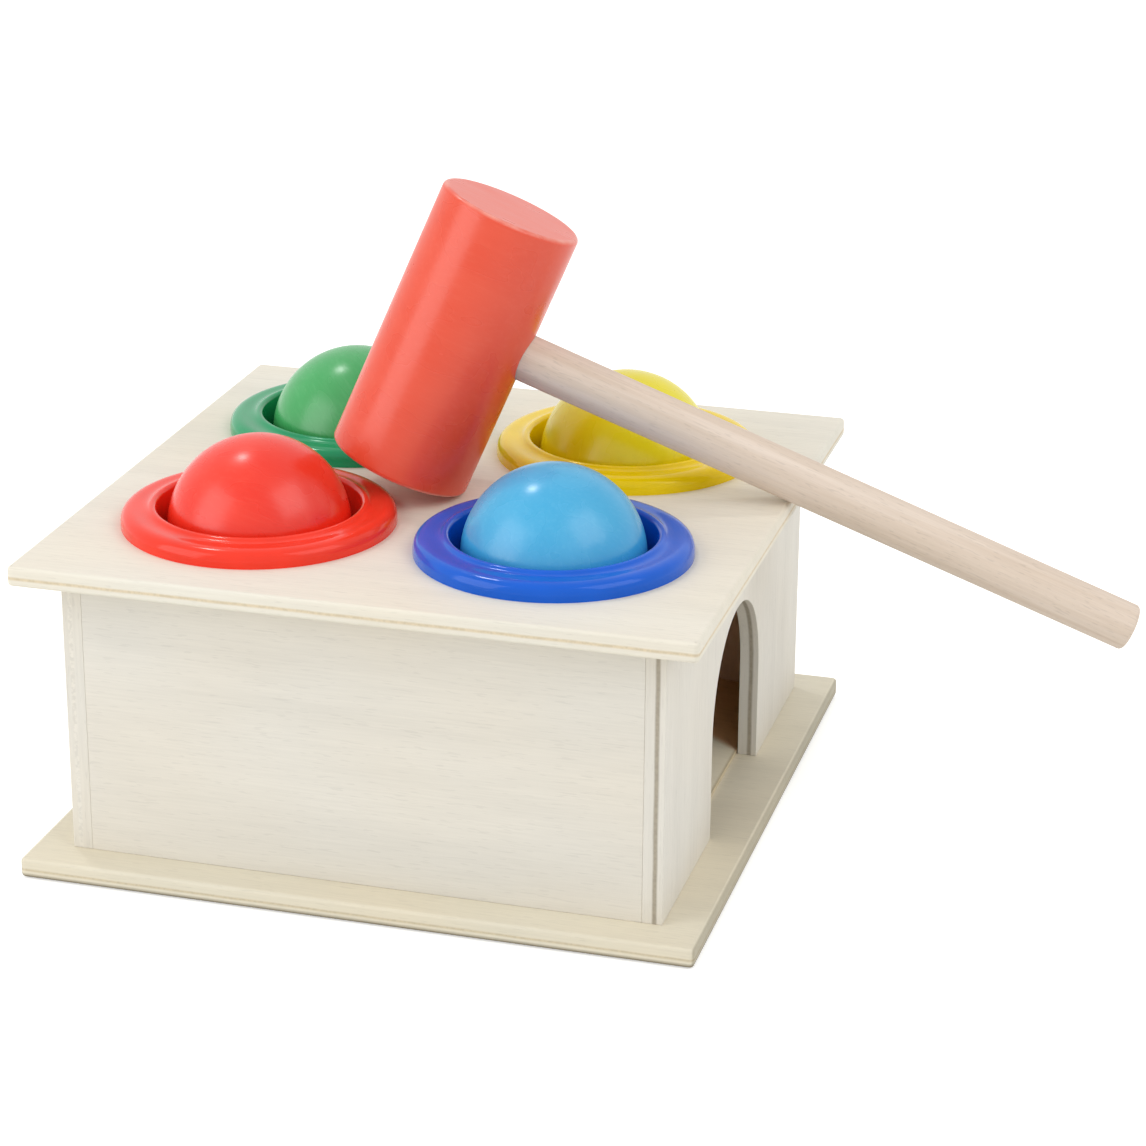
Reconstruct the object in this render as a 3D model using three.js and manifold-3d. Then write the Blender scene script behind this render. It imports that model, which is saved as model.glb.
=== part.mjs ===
// Ball pounding bench: a plywood box whose top plate carries four balls in flexible rings.
// A ball struck by the mallet springs its ring open, drops on a ramp and rolls out of the doorway.
// Millimetres, +Z up. The origin is the centre of the base plate's underside.
// +X points to the wall with the doorway, and -Y to the front.
import * as THREE from 'three';
import { mergeVertices } from 'three/addons/utils/BufferGeometryUtils.js';
import Module from 'manifold-3d';

const wasm = await Module();
wasm.setup();

// Plywood box
const PLY = 5;
const BOX_SIDE = 149;
const BASE_OVERHANG = 10;
const TOP_OVERHANG = 9.5;
const BASE_SIDE = BOX_SIDE + 2 * BASE_OVERHANG;
const TOP_SIDE = BOX_SIDE + 2 * TOP_OVERHANG;
const PLATE_CORNER = 1.2;
const PLATE_EDGE = 1;
const WALL_HEIGHT = 71;
const WALL_EDGE = 0.5;
const DOOR_WIDTH = 52;
const DOOR_HEIGHT = 52;

// Ramp inside the box
const RAMP_PLY = 3;
const RAMP_RISE = 14;
const RAMP_TOE = 1;
const RAIL_WIDTH = 8;
const RAIL_STOP = 24;
const FIT_GAP = 0.3;

// Balls. The holes are drilled a little off their square, as this bench shows.
const BALL_RADIUS = 22.5;
const BALL_SINK = 0.9;
const BALL_PITCH = 74;
const LEFT_DRIFT = 1;
const BACK_DRIFT = 2;

// Flexible rings
const RING_RADIUS = 33.8;
const RING_EDGE = 1;
const CREST_HEIGHT = 4.2;
const LIP_RADIUS = 25;
const LIP_HEIGHT = 5.2;
const LIP_BEAD = 1.2;
const LIP_TUCK = Math.PI / 9;
const SLEEVE_RADIUS = 26.9;
const SLEEVE_WALL = 2.9;
const SNAP_REACH = 0.7;
const SNAP_HEIGHT = 2.6;
const GRIP_BELOW = 9.5;
const GRIP_GAP = 0.35;
const FINGER_WALL = 1.2;
const SLIT_WIDTH = 2.4;
const SLITS = 8;

// Mallet
const HEAD_RADIUS = 18;
const HEAD_LENGTH = 71;
const HEAD_EDGE = 1.2;
const HANDLE_RADIUS = 6;
const HANDLE_REACH = 184;
const HANDLE_OFFSET = 2.8;
const HANDLE_EDGE = 1;
const SOCKET_DEPTH = 24;
const MALLET_YAW = THREE.MathUtils.degToRad(10.3);
const MALLET_ROLL = THREE.MathUtils.degToRad(-4.5);
const STAND_X = 2.6;
const STAND_Y = -0.5;

// Fineness of the round forms
const RING_SEGMENTS = 32;
const BALL_SEGMENTS = 24;
const TURNED_SEGMENTS = 32;
const ARC_STEPS = 3;
const DOOR_STEPS = 16;
const EASE_STEPS = 2;

// Places worked out from the sizes above
const topFace = PLY + WALL_HEIGHT + PLY;
const innerSide = BOX_SIDE - 2 * PLY;
const holeRadius = SLEEVE_RADIUS + FIT_GAP;
const half = BALL_PITCH / 2;
const stations = [
  { colour: 'red', x: -half - LEFT_DRIFT, y: -half, ball: '#f0402e', ring: '#f2452f' },
  { colour: 'blue', x: half, y: -half, ball: '#4fa6d8', ring: '#2a62cd' },
  { colour: 'green', x: -half - BACK_DRIFT, y: half + BACK_DRIFT, ball: '#3f9a62', ring: '#1f8a5c' },
  { colour: 'yellow', x: half - BACK_DRIFT, y: half + BACK_DRIFT, ball: '#dcc829', ring: '#e0c81e' },
];

const bench = new THREE.Group();

function add(name, geometry, color, roughness, parent = bench) {
  const material = new THREE.MeshStandardMaterial({ color, roughness, metalness: 0 });
  const mesh = new THREE.Mesh(geometry, material);
  mesh.name = name;
  parent.add(mesh);
  return mesh;
}

// Cutting: geometry becomes a solid, the tools are taken away, and the rest becomes geometry again.
function toSolid(geometry) {
  const bare = geometry.clone();
  bare.deleteAttribute('normal');
  bare.deleteAttribute('uv');
  const merged = mergeVertices(bare, 1e-4);
  const corners = Array.from(merged.index.array);
  const whole = [];
  for (let i = 0; i < corners.length; i += 3) {
    const [a, b, c] = corners.slice(i, i + 3);
    if (a !== b && b !== c && c !== a) {
      whole.push(a, b, c);
    }
  }
  const vertProperties = merged.attributes.position.array;
  const triVerts = new Uint32Array(whole);
  return new wasm.Manifold(new wasm.Mesh({ numProp: 3, vertProperties, triVerts }));
}

function cut(blank, tools) {
  const left = tools.reduce((solid, tool) => solid.subtract(toSolid(tool)), toSolid(blank));
  const { vertProperties, triVerts } = left.getMesh();
  const geometry = new THREE.BufferGeometry();
  geometry.setAttribute('position', new THREE.BufferAttribute(vertProperties, 3));
  geometry.setIndex(new THREE.BufferAttribute(triVerts, 1));
  geometry.computeVertexNormals();
  return geometry;
}

// A board sawn to an outline, with its edges eased on both faces. Its underside is at z = 0.
function board(outline, thickness, ease, curveSegments = ARC_STEPS) {
  const options = {
    depth: thickness - 2 * ease,
    bevelEnabled: true,
    bevelThickness: ease,
    bevelSize: ease,
    bevelOffset: -ease,
    bevelSegments: EASE_STEPS,
    curveSegments,
  };
  return new THREE.ExtrudeGeometry(outline, options).translate(0, 0, ease);
}

function roundedSquare(side, radius) {
  const flat = side / 2 - radius;
  const outline = new THREE.Shape();
  outline.absarc(flat, flat, radius, 0, Math.PI / 2);
  outline.absarc(-flat, flat, radius, Math.PI / 2, Math.PI);
  outline.absarc(-flat, -flat, radius, Math.PI, 1.5 * Math.PI);
  outline.absarc(flat, -flat, radius, 1.5 * Math.PI, 2 * Math.PI);
  return outline;
}

// Turns a flat board upright: its width runs along Y, its height along Z and its thickness along X.
const UPRIGHT = new THREE.Matrix4().makeBasis(
  new THREE.Vector3(0, 1, 0),
  new THREE.Vector3(0, 0, 1),
  new THREE.Vector3(1, 0, 0),
);

// A body of revolution about Z, from a profile of (radius, height) points.
function turned(points, segments) {
  return new THREE.LatheGeometry(points, segments).rotateX(Math.PI / 2);
}

// Base plate
function basePlate() {
  return board(roundedSquare(BASE_SIDE, PLATE_CORNER), PLY, PLATE_EDGE);
}

// Top plate, with one hole for each ring's sleeve
function topPlate() {
  const blank = board(roundedSquare(TOP_SIDE, PLATE_CORNER), PLY, PLATE_EDGE);
  const drills = stations.map(({ x, y }) => {
    const drill = new THREE.CylinderGeometry(holeRadius, holeRadius, 3 * PLY, RING_SEGMENTS);
    return drill.rotateX(Math.PI / 2).translate(x, y, PLY / 2);
  });
  return cut(blank, drills);
}

// Side walls run the box's full depth. The right one has a round-headed doorway down to the base.
function sideWall(hasDoor) {
  const end = BOX_SIDE / 2;
  const jamb = DOOR_WIDTH / 2;
  const spring = DOOR_HEIGHT - jamb;
  const outline = new THREE.Shape();
  outline.moveTo(-end, 0);
  if (hasDoor) {
    outline.lineTo(-jamb, 0);
    outline.lineTo(-jamb, spring);
    outline.absarc(0, spring, jamb, Math.PI, 0, true);
    outline.lineTo(jamb, 0);
  }
  outline.lineTo(end, 0);
  outline.lineTo(end, WALL_HEIGHT);
  outline.lineTo(-end, WALL_HEIGHT);
  outline.closePath();
  return board(outline, PLY, WALL_EDGE, DOOR_STEPS).applyMatrix4(UPRIGHT);
}

// Front and back walls are let in between the side walls.
function crossWall() {
  const end = innerSide / 2;
  const outline = new THREE.Shape();
  outline.moveTo(-end, 0);
  outline.lineTo(end, 0);
  outline.lineTo(end, WALL_HEIGHT);
  outline.lineTo(-end, WALL_HEIGHT);
  outline.closePath();
  return board(outline, PLY, WALL_EDGE).rotateX(Math.PI / 2);
}

add('base_plate', basePlate(), '#e6dcc2', 0.6);
add('top_plate', topPlate(), '#ebe4d4', 0.6).position.z = PLY + WALL_HEIGHT;
add('left_wall', sideWall(false), '#e4dfd2', 0.6).position.set(-BOX_SIDE / 2, 0, PLY);
add('right_wall', sideWall(true), '#e4dfd2', 0.6).position.set(BOX_SIDE / 2 - PLY, 0, PLY);
add('front_wall', crossWall(), '#e7e2d6', 0.6).position.set(0, PLY - BOX_SIDE / 2, PLY);
add('back_wall', crossWall(), '#e7e2d6', 0.6).position.set(0, BOX_SIDE / 2, PLY);

// The ramp falls from the left wall to the sill of the doorway, where its toe is planed thin.
const rampHalf = innerSide / 2 - FIT_GAP;
const rampSlope = (RAMP_RISE - RAMP_TOE) / (2 * rampHalf);

function rampTop(x) {
  return RAMP_TOE + rampSlope * (rampHalf - x);
}

// A strip with a side outline in X and Z, extruded by its width along Y and centred on it.
function strip(corners, width) {
  const outline = new THREE.Shape(corners.map(([x, z]) => new THREE.Vector2(x, z)));
  const geometry = new THREE.ExtrudeGeometry(outline, { depth: width, bevelEnabled: false });
  return geometry.rotateX(Math.PI / 2).translate(0, width / 2, 0);
}

function rampBoard() {
  const planed = rampHalf - (RAMP_PLY - RAMP_TOE) / rampSlope;
  const corners = [
    [-rampHalf, rampTop(-rampHalf) - RAMP_PLY],
    [planed, 0],
    [rampHalf, 0],
    [rampHalf, RAMP_TOE],
    [-rampHalf, RAMP_RISE],
  ];
  return strip(corners, 2 * rampHalf);
}

// A wedge-shaped rail under each side of the ramp carries it.
function rampRail() {
  const seat = (x) => rampTop(x) - RAMP_PLY - FIT_GAP;
  const thinEnd = rampHalf - (RAMP_PLY + FIT_GAP - RAMP_TOE) / rampSlope - RAIL_STOP;
  const corners = [
    [-rampHalf, 0],
    [thinEnd, 0],
    [thinEnd, seat(thinEnd)],
    [-rampHalf, seat(-rampHalf)],
  ];
  return strip(corners, RAIL_WIDTH);
}

const railPlace = innerSide / 2 - FIT_GAP - RAIL_WIDTH / 2;
add('ramp_board', rampBoard(), '#dccfae', 0.65).position.z = PLY;
add('ramp_rail_front', rampRail(), '#d8c49c', 0.7).position.set(0, -railPlace, PLY);
add('ramp_rail_back', rampRail(), '#d8c49c', 0.7).position.set(0, railPlace, PLY);

// A flexible ring, with its flange on the plate at z = 0: a domed flange that dips to a groove
// beside a beaded lip, a sleeve through the plate, a snap bead under it, and fingers that hold
// the ball from below.
function ringGeometry() {
  const gripRadius = Math.sqrt(BALL_RADIUS ** 2 - GRIP_BELOW ** 2) + GRIP_GAP;
  const gripZ = -BALL_SINK - GRIP_BELOW;
  const bore = SLEEVE_RADIUS - SLEEVE_WALL;
  const snapTop = -PLY - FIT_GAP;
  const snapFoot = snapTop - SNAP_HEIGHT;
  const beadR = LIP_RADIUS + LIP_BEAD;
  const beadZ = LIP_HEIGHT - LIP_BEAD;
  const crestR = (RING_RADIUS + beadR + LIP_BEAD) / 2;
  const grooveR = beadR + LIP_BEAD * Math.cos(LIP_TUCK);
  const grooveZ = beadZ - LIP_BEAD * Math.sin(LIP_TUCK);
  const outline = new THREE.Path();
  outline.moveTo(SLEEVE_RADIUS, 0);
  outline.lineTo(RING_RADIUS, 0);
  outline.lineTo(RING_RADIUS, RING_EDGE);
  outline.quadraticCurveTo(RING_RADIUS, CREST_HEIGHT, crestR, CREST_HEIGHT);
  outline.quadraticCurveTo((crestR + grooveR) / 2, CREST_HEIGHT, grooveR, grooveZ);
  outline.absarc(beadR, beadZ, LIP_BEAD, -LIP_TUCK, Math.PI);
  outline.lineTo(bore, -PLY / 2);
  outline.lineTo(bore - FINGER_WALL / 2, snapTop);
  outline.lineTo(gripRadius, gripZ);
  outline.lineTo(gripRadius + FINGER_WALL / 2, gripZ - FINGER_WALL);
  outline.lineTo(bore + FINGER_WALL, snapFoot);
  outline.lineTo(holeRadius + SNAP_REACH, snapTop - SNAP_HEIGHT / 2);
  outline.lineTo(SLEEVE_RADIUS, snapTop);
  outline.lineTo(SLEEVE_RADIUS, 0);
  const blank = turned(outline.getPoints(ARC_STEPS), RING_SEGMENTS);
  const slitHeight = 2 * GRIP_BELOW;
  const saws = Array.from({ length: SLITS / 2 }, (_, i) => {
    const saw = new THREE.BoxGeometry(2 * RING_RADIUS, SLIT_WIDTH, slitHeight);
    saw.translate(0, 0, snapTop - FIT_GAP - slitHeight / 2);
    return saw.rotateZ((i + 0.5) * 2 * Math.PI / SLITS);
  });
  return cut(blank, saws);
}

for (const { colour, x, y, ball, ring } of stations) {
  const place = new THREE.Group();
  place.position.set(x, y, topFace);
  bench.add(place);
  add(`ring_${colour}`, ringGeometry(), ring, 0.25, place);
  const sphere = new THREE.SphereGeometry(BALL_RADIUS, BALL_SEGMENTS, BALL_SEGMENTS / 2);
  add(`ball_${colour}`, sphere.rotateX(Math.PI / 2), ball, 0.4, place).position.z = -BALL_SINK;
}

// Mallet, in its own frame: the handle's axis is X and the head's is Z. They cross at the origin,
// and the handle is set a little above the middle of the head.
function malletHead() {
  const foot = -HEAD_LENGTH / 2 - HANDLE_OFFSET;
  const crown = HEAD_LENGTH / 2 - HANDLE_OFFSET;
  const flat = HEAD_RADIUS - HEAD_EDGE;
  const outline = new THREE.Path();
  outline.moveTo(0, foot);
  outline.lineTo(flat, foot);
  outline.absarc(flat, foot + HEAD_EDGE, HEAD_EDGE, -Math.PI / 2, 0);
  outline.absarc(flat, crown - HEAD_EDGE, HEAD_EDGE, 0, Math.PI / 2);
  outline.lineTo(0, crown);
  const blank = turned(outline.getPoints(ARC_STEPS), TURNED_SEGMENTS);
  const bore = HANDLE_RADIUS + FIT_GAP;
  const drill = new THREE.CylinderGeometry(bore, bore, 2 * SOCKET_DEPTH, TURNED_SEGMENTS / 2);
  return cut(blank, [drill.rotateZ(-Math.PI / 2).translate(HEAD_RADIUS, 0, 0)]);
}

function malletHandle() {
  const foot = HEAD_RADIUS - SOCKET_DEPTH + FIT_GAP;
  const flat = HANDLE_RADIUS - HANDLE_EDGE;
  const outline = new THREE.Path();
  outline.moveTo(0, foot);
  outline.lineTo(HANDLE_RADIUS, foot);
  outline.absarc(flat, HANDLE_REACH - HANDLE_EDGE, HANDLE_EDGE, 0, Math.PI / 2);
  outline.lineTo(0, HANDLE_REACH);
  return turned(outline.getPoints(ARC_STEPS), TURNED_SEGMENTS / 2).rotateY(Math.PI / 2);
}

// The mallet leans: its head stands on its lower rim in the middle of the four rings, and its handle
// lies over the right edge of the top plate. The pitch that brings the handle there is searched.
function malletPose(pitch) {
  const turn = new THREE.Euler(MALLET_ROLL, pitch, MALLET_YAW, 'ZYX');
  const along = new THREE.Vector3(1, 0, 0).applyEuler(turn);
  const axis = new THREE.Vector3(0, 0, 1).applyEuler(turn);
  const down = new THREE.Vector3(0, 0, -1).addScaledVector(axis, axis.z).normalize();
  const centre = new THREE.Vector3(STAND_X, STAND_Y, topFace + FIT_GAP + HEAD_EDGE);
  centre.addScaledVector(axis, HEAD_LENGTH / 2 + HANDLE_OFFSET - HEAD_EDGE);
  centre.addScaledVector(down, HEAD_EDGE - HEAD_RADIUS);
  const edgeX = TOP_SIDE / 2 - PLATE_EDGE - centre.x;
  const edgeZ = topFace - PLATE_EDGE - centre.z;
  const spread = Math.hypot(along.x, along.z);
  const gap = (edgeX * along.z - edgeZ * along.x) / spread - HANDLE_RADIUS - PLATE_EDGE - FIT_GAP;
  return { turn, centre, gap };
}

function leaningPose() {
  let low = 0;
  let high = Math.PI / 4;
  for (let step = 0; step < 50; step += 1) {
    const middle = (low + high) / 2;
    if (malletPose(middle).gap > 0) {
      low = middle;
    } else {
      high = middle;
    }
  }
  return malletPose(low);
}

const lean = leaningPose();
const mallet = new THREE.Group();
mallet.rotation.copy(lean.turn);
mallet.position.copy(lean.centre);
bench.add(mallet);
add('mallet_head', malletHead(), '#e8604a', 0.45, mallet);
add('mallet_handle', malletHandle(), '#e3cfbe', 0.55, mallet);

export default bench;
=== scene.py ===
# %% [markdown]
# # A ball pounding bench
# A child strikes a ball with the mallet. The ball springs its ring open, drops on a ramp inside the
# plywood box, and rolls out of the round-headed doorway. The sizes were settled when the bench was
# designed, and that design is loaded first as a fixed frame. Each piece is then modelled again here,
# with finer curves and with a finish of its own, in the place that the frame gives it.
#
# All sizes in this lesson are millimetres. A piece is scaled to metres when it is finished.

import math

import bmesh
import bpy
from mathutils import Euler, Matrix, Vector
from mathutils.geometry import interpolate_bezier


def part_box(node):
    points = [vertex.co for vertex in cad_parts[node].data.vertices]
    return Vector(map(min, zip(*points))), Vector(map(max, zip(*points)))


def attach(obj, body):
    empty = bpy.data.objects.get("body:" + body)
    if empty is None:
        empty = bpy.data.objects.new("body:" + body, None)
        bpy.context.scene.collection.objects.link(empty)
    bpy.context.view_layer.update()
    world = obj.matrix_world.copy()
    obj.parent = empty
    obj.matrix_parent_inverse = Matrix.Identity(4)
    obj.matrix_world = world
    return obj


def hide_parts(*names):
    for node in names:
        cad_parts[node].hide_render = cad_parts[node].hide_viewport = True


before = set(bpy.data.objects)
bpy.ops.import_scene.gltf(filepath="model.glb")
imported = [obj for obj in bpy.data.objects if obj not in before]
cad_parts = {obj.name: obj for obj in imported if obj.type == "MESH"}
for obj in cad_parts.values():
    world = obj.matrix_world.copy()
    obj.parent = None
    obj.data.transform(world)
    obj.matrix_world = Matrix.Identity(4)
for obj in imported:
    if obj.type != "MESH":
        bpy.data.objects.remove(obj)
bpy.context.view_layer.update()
MM = 0.001
scene = bpy.context.scene
scene.view_settings.view_transform = "Standard"
print("nodes in the frame:", len(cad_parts))

# %% [markdown]
# ## Camera
# The picture was taken from a little right of the front and about twenty degrees above the table,
# with a long lens, so the box's edges hardly converge. A camera can be placed by hand until its view
# fits. Here its bearing, height, roll and distance come from matching the corners of the boards, and
# a small lens shift puts the bench where it sits in the frame.

# %% Camera
BEARING = math.radians(15.71)
HEIGHT_ANGLE = math.radians(20.60)
ROLL = math.radians(0.35)
AIM = Vector((11.25, 60.44, 43.85))
CAMERA_DISTANCE = 881.57
LENS = 101.65
SHIFT = (0.0109, -0.0212)


def towards(bearing, height_angle):
    """The unit vector from the bench to a bearing (0 is the front) and an angle above the table."""
    level = math.cos(height_angle)
    return Vector((math.sin(bearing) * level, -math.cos(bearing) * level, math.sin(height_angle)))


lens = bpy.data.cameras.new("camera")
lens.lens = LENS
lens.sensor_width = 36.0
lens.shift_x, lens.shift_y = SHIFT
camera = bpy.data.objects.new("camera", lens)
scene.collection.objects.link(camera)
sight = towards(BEARING, HEIGHT_ANGLE)
turn = (-sight).to_track_quat("-Z", "Y").to_matrix() @ Matrix.Rotation(ROLL, 3, "Z")
camera.matrix_world = Matrix.Translation((AIM + sight * CAMERA_DISTANCE) * MM) @ turn.to_4x4()
scene.camera = camera
print("camera at", [round(c, 3) for c in camera.matrix_world.translation])

# %% [markdown]
# ## Nodes and colours
# Every finish below is a small graph of shader nodes. Adding a node takes three steps: make it, set
# its properties, and fill its inputs with values or with links. One function does all three. Colours
# are written as sRGB hex codes, as a paint chart gives them, and one function makes them linear.

# %% Adding a node and reading a colour


def node(tree, kind, feeds=None, **settings):
    """Adds a node, sets its properties, and fills its inputs with values or with other outputs."""
    made = tree.nodes.new("ShaderNode" + kind)
    for key, value in settings.items():
        setattr(made, key, value)
    for socket, value in (feeds or {}).items():
        if isinstance(value, bpy.types.NodeSocket):
            tree.links.new(value, made.inputs[socket])
        else:
            made.inputs[socket].default_value = value
    return made


def colour(hex_code):
    """A linear colour from an sRGB hex code."""
    parts = [int(hex_code[i : i + 2], 16) / 255 for i in (1, 3, 5)]
    return tuple(p / 12.92 if p <= 0.04045 else ((p + 0.055) / 1.055) ** 2.4 for p in parts) + (1.0,)


def new_finish(name):
    """An empty material with an output that shows a Principled shader."""
    finish = bpy.data.materials.new(name)
    finish.use_nodes = True
    tree = finish.node_tree
    tree.nodes.clear()
    shader = node(tree, "BsdfPrincipled")
    node(tree, "OutputMaterial", {"Surface": shader.outputs[0]})
    return finish, tree, shader


print("white in linear light:", colour("#ffffff"))

# %% [markdown]
# ## Floor and light
# A catalogue picture of a toy is taken on a white sweep between two large softboxes. Those softboxes
# are what the balls mirror: one broad soft patch on the left and one on the right, and a small bright
# spot from a lamp overhead. The left box reaches almost to the floor, and its lower end is the soft
# band along the mallet's head. The sweep is a wide pale floor. The camera sees it as white, which only a
# camera ray gets, so that the floor doesn't light the bench more than a real one does, and it still
# takes the bench's shadow.

# %% Floor
FLOOR_HALF = 6000.0
FLOOR_DROP = 0.3
FLOOR_LIFT = 0.45


def show_as_white(tree):
    """One for rays that come from the camera, a mirror or a window, and nought for light's own."""
    path = node(tree, "LightPath")
    seen = node(tree, "Math", {0: path.outputs["Is Camera Ray"], 1: path.outputs["Is Glossy Ray"]})
    return node(
        tree, "Math", {0: seen.outputs[0], 1: path.outputs["Is Transmission Ray"]}, use_clamp=True
    ).outputs[0]


sweep = bpy.data.materials.new("white_paper_sweep")
sweep.use_nodes = True
tree = sweep.node_tree
tree.nodes.clear()
paper = node(tree, "BsdfDiffuse", {"Color": colour("#f2f2f0")})
lift = node(tree, "Math", {0: show_as_white(tree), 1: FLOOR_LIFT}, operation="MULTIPLY")
glow = node(tree, "Emission", {"Color": colour("#ffffff"), "Strength": lift.outputs[0]})
both = node(tree, "AddShader", {0: paper.outputs[0], 1: glow.outputs[0]})
node(tree, "OutputMaterial", {"Surface": both.outputs[0]})
bm = bmesh.new()
bmesh.ops.create_grid(bm, x_segments=1, y_segments=1, size=FLOOR_HALF * MM)
bmesh.ops.translate(bm, vec=(0, 0, -FLOOR_DROP * MM), verts=bm.verts)
floor_mesh = bpy.data.meshes.new("floor")
bm.to_mesh(floor_mesh)
bm.free()
floor_mesh.materials.append(sweep)
floor = bpy.data.objects.new("floor", floor_mesh)
scene.collection.objects.link(floor)
print("floor half side, mm:", FLOOR_HALF)

# %% Studio light
ROOM_LIGHT = 0.68
LIGHT_AIM = Vector((0, 0, 60))
SOFTBOXES = [
    ("softbox_left", -48, 24, 1150, 800, 940, 5.3),
    ("softbox_right", 72, 42, 1200, 800, 760, 3.9),
    ("lamp_overhead", -125, 62, 1300, 110, 110, 1.9),
]

for name, bearing, rise, distance, width, tall, power in SOFTBOXES:
    lamp = bpy.data.lights.new(name, "AREA")
    lamp.shape = "RECTANGLE"
    lamp.size = width * MM
    lamp.size_y = tall * MM
    lamp.energy = power
    holder = bpy.data.objects.new(name, lamp)
    scene.collection.objects.link(holder)
    sight = towards(math.radians(bearing), math.radians(rise))
    turn = (-sight).to_track_quat("-Z", "Y").to_matrix()
    holder.matrix_world = Matrix.Translation((LIGHT_AIM + sight * distance) * MM) @ turn.to_4x4()

world = bpy.data.worlds.new("studio")
scene.world = world
world.use_nodes = True
tree = world.node_tree
tree.nodes.clear()
level = node(tree, "MapRange", {"Value": show_as_white(tree), "To Min": ROOM_LIGHT, "To Max": 1.0})
room = node(tree, "Background", {"Color": colour("#ffffff"), "Strength": level.outputs[0]})
node(tree, "OutputWorld", {"Surface": room.outputs[0]})
print("lamps:", [box[0] for box in SOFTBOXES])

# %% [markdown]
# ## Plywood
# The boards are three-ply basswood, five millimetres thick. The veneer is rotary cut and almost
# without figure: long faint bands, fine fibres, a few short flecks, and clouds that are a little
# warmer or cooler. The sawn edges show the plies. The core's fibres run across the veneer's, so an
# edge cuts through their ends and looks darker and speckled. A picture of plywood would need
# unwrapping. A solid pattern is better here: it is worked out from the depth in the board and the
# direction of its grain, so an edge and the rounding beside it show the plies where they really are.

# %% Plywood finish
PLY = 5.0
GLUE_LINE = 0.09


def own_frame(tree, start, turn):
    """Object coordinates in millimetres, from a start point and along a piece's own three axes."""
    place = node(tree, "TexCoord").outputs["Object"]
    feeds = {
        "Vector": place,
        "Location": Vector(start) * MM,
        "Rotation": [math.radians(a) for a in turn],
        "Scale": (MM, MM, MM),
    }
    return node(tree, "Mapping", feeds, vector_type="TEXTURE").outputs[0]


def streaks(tree, place, length, width, detail=3.0):
    """Cloudy marks drawn out along the grain, about length by width millimetres each."""
    pull = (1 / length, 1 / width, 1 / width)
    drawn = node(tree, "VectorMath", {0: place, 1: pull}, operation="MULTIPLY")
    feeds = {"Vector": drawn.outputs[0], "Scale": 1.0, "Detail": detail, "Roughness": 0.55}
    return node(tree, "TexNoise", feeds).outputs[0]


def plywood(name, start, turn, face, back, core, span, thick=PLY):
    """Three-ply board: X of its own frame is the grain, and Z runs from the back veneer to the face."""
    finish, tree, shader = new_finish(name)
    place = own_frame(tree, start, turn)
    figure = streaks(tree, place, 110, 9)
    fibre = streaks(tree, place, 16, 0.55, 2.0)
    fleck = streaks(tree, place, 3.5, 0.4, 0.0)
    cloud = streaks(tree, place, 60, 45, 1.0)

    # The depth in the board wanders a little, because a glue line is never quite straight
    depth = node(tree, "SeparateXYZ", {0: place}).outputs[2]
    depth = node(tree, "MapRange", {"Value": depth, "From Max": thick}).outputs[0]
    skin = node(tree, "MapRange", {"Value": depth, "From Min": 0.005, "From Max": 0.02}).outputs[0]
    wander = streaks(tree, place, 12, 12, 1.0)
    depth = node(tree, "Math", {0: wander, 1: 0.06, 2: depth}, operation="MULTIPLY_ADD").outputs[0]
    past = []
    for line in span:
        feeds = {"Value": depth, "From Min": line, "From Max": line + GLUE_LINE}
        past.append(node(tree, "MapRange", feeds).outputs[0])
    in_core = node(tree, "Math", {0: past[0], 1: past[1]}, operation="SUBTRACT").outputs[0]

    # The veneer: faint bands, fibres and flecks darken it, and clouds turn it warm and cool
    veneer = node(tree, "Mix", {0: skin, 6: colour(back), 7: colour(face)}, data_type="RGBA").outputs[2]
    marks = [(figure, 0.36, 0.68, 1.02, 0.96), (fibre, 0.3, 0.7, 0.97, 1.02), (fleck, 0.70, 0.76, 1.0, 0.94)]
    for mark, low, high, first, last in marks:
        feeds = {"Value": mark, "From Min": low, "From Max": high, "To Min": first, "To Max": last}
        shade = node(tree, "MapRange", feeds).outputs[0]
        veneer = node(tree, "VectorMath", {0: veneer, "Scale": shade}, operation="SCALE").outputs[0]
    drift = node(tree, "MapRange", {"Value": cloud, "From Min": 0.35, "From Max": 0.65}).outputs[0]
    tint = node(
        tree, "Mix", {0: drift, 6: (0.985, 0.995, 1.0, 1), 7: (1.0, 0.99, 0.965, 1)}, data_type="RGBA"
    ).outputs[2]
    veneer = node(tree, "VectorMath", {0: veneer, 1: tint}, operation="MULTIPLY").outputs[0]

    # The core: darker, and speckled with the cut ends of its fibres
    pores = node(tree, "TexNoise", {"Vector": place, "Scale": 1.1, "Detail": 2.0}).outputs[0]
    feeds = {"Value": pores, "From Min": 0.4, "From Max": 0.62, "To Min": 1.06, "To Max": 0.93}
    speck = node(tree, "MapRange", feeds).outputs[0]
    ends = node(tree, "VectorMath", {0: colour(core)[:3], "Scale": speck}, operation="SCALE").outputs[0]
    board = node(tree, "Mix", {0: in_core, 6: veneer, 7: ends}, data_type="RGBA").outputs[2]
    tree.links.new(board, shader.inputs["Base Color"])

    # Sanded and sealed thinly: dull, with a little relief from the fibres
    feeds = {"Value": fibre, "From Min": 0.3, "From Max": 0.7, "To Min": 0.62, "To Max": 0.5}
    tree.links.new(node(tree, "MapRange", feeds).outputs[0], shader.inputs["Roughness"])
    relief = node(tree, "Math", {0: figure, 1: 0.6, 2: fibre}, operation="MULTIPLY_ADD").outputs[0]
    relief = node(tree, "Math", {0: in_core, 1: -0.3, 2: relief}, operation="MULTIPLY_ADD").outputs[0]
    bump = node(tree, "Bump", {"Height": relief, "Strength": 0.25, "Distance": 0.1 * MM})
    tree.links.new(bump.outputs[0], shader.inputs["Normal"])
    shader.inputs["IOR"].default_value = 1.5
    shader.inputs["Specular IOR Level"].default_value = 0.35
    return finish


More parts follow.
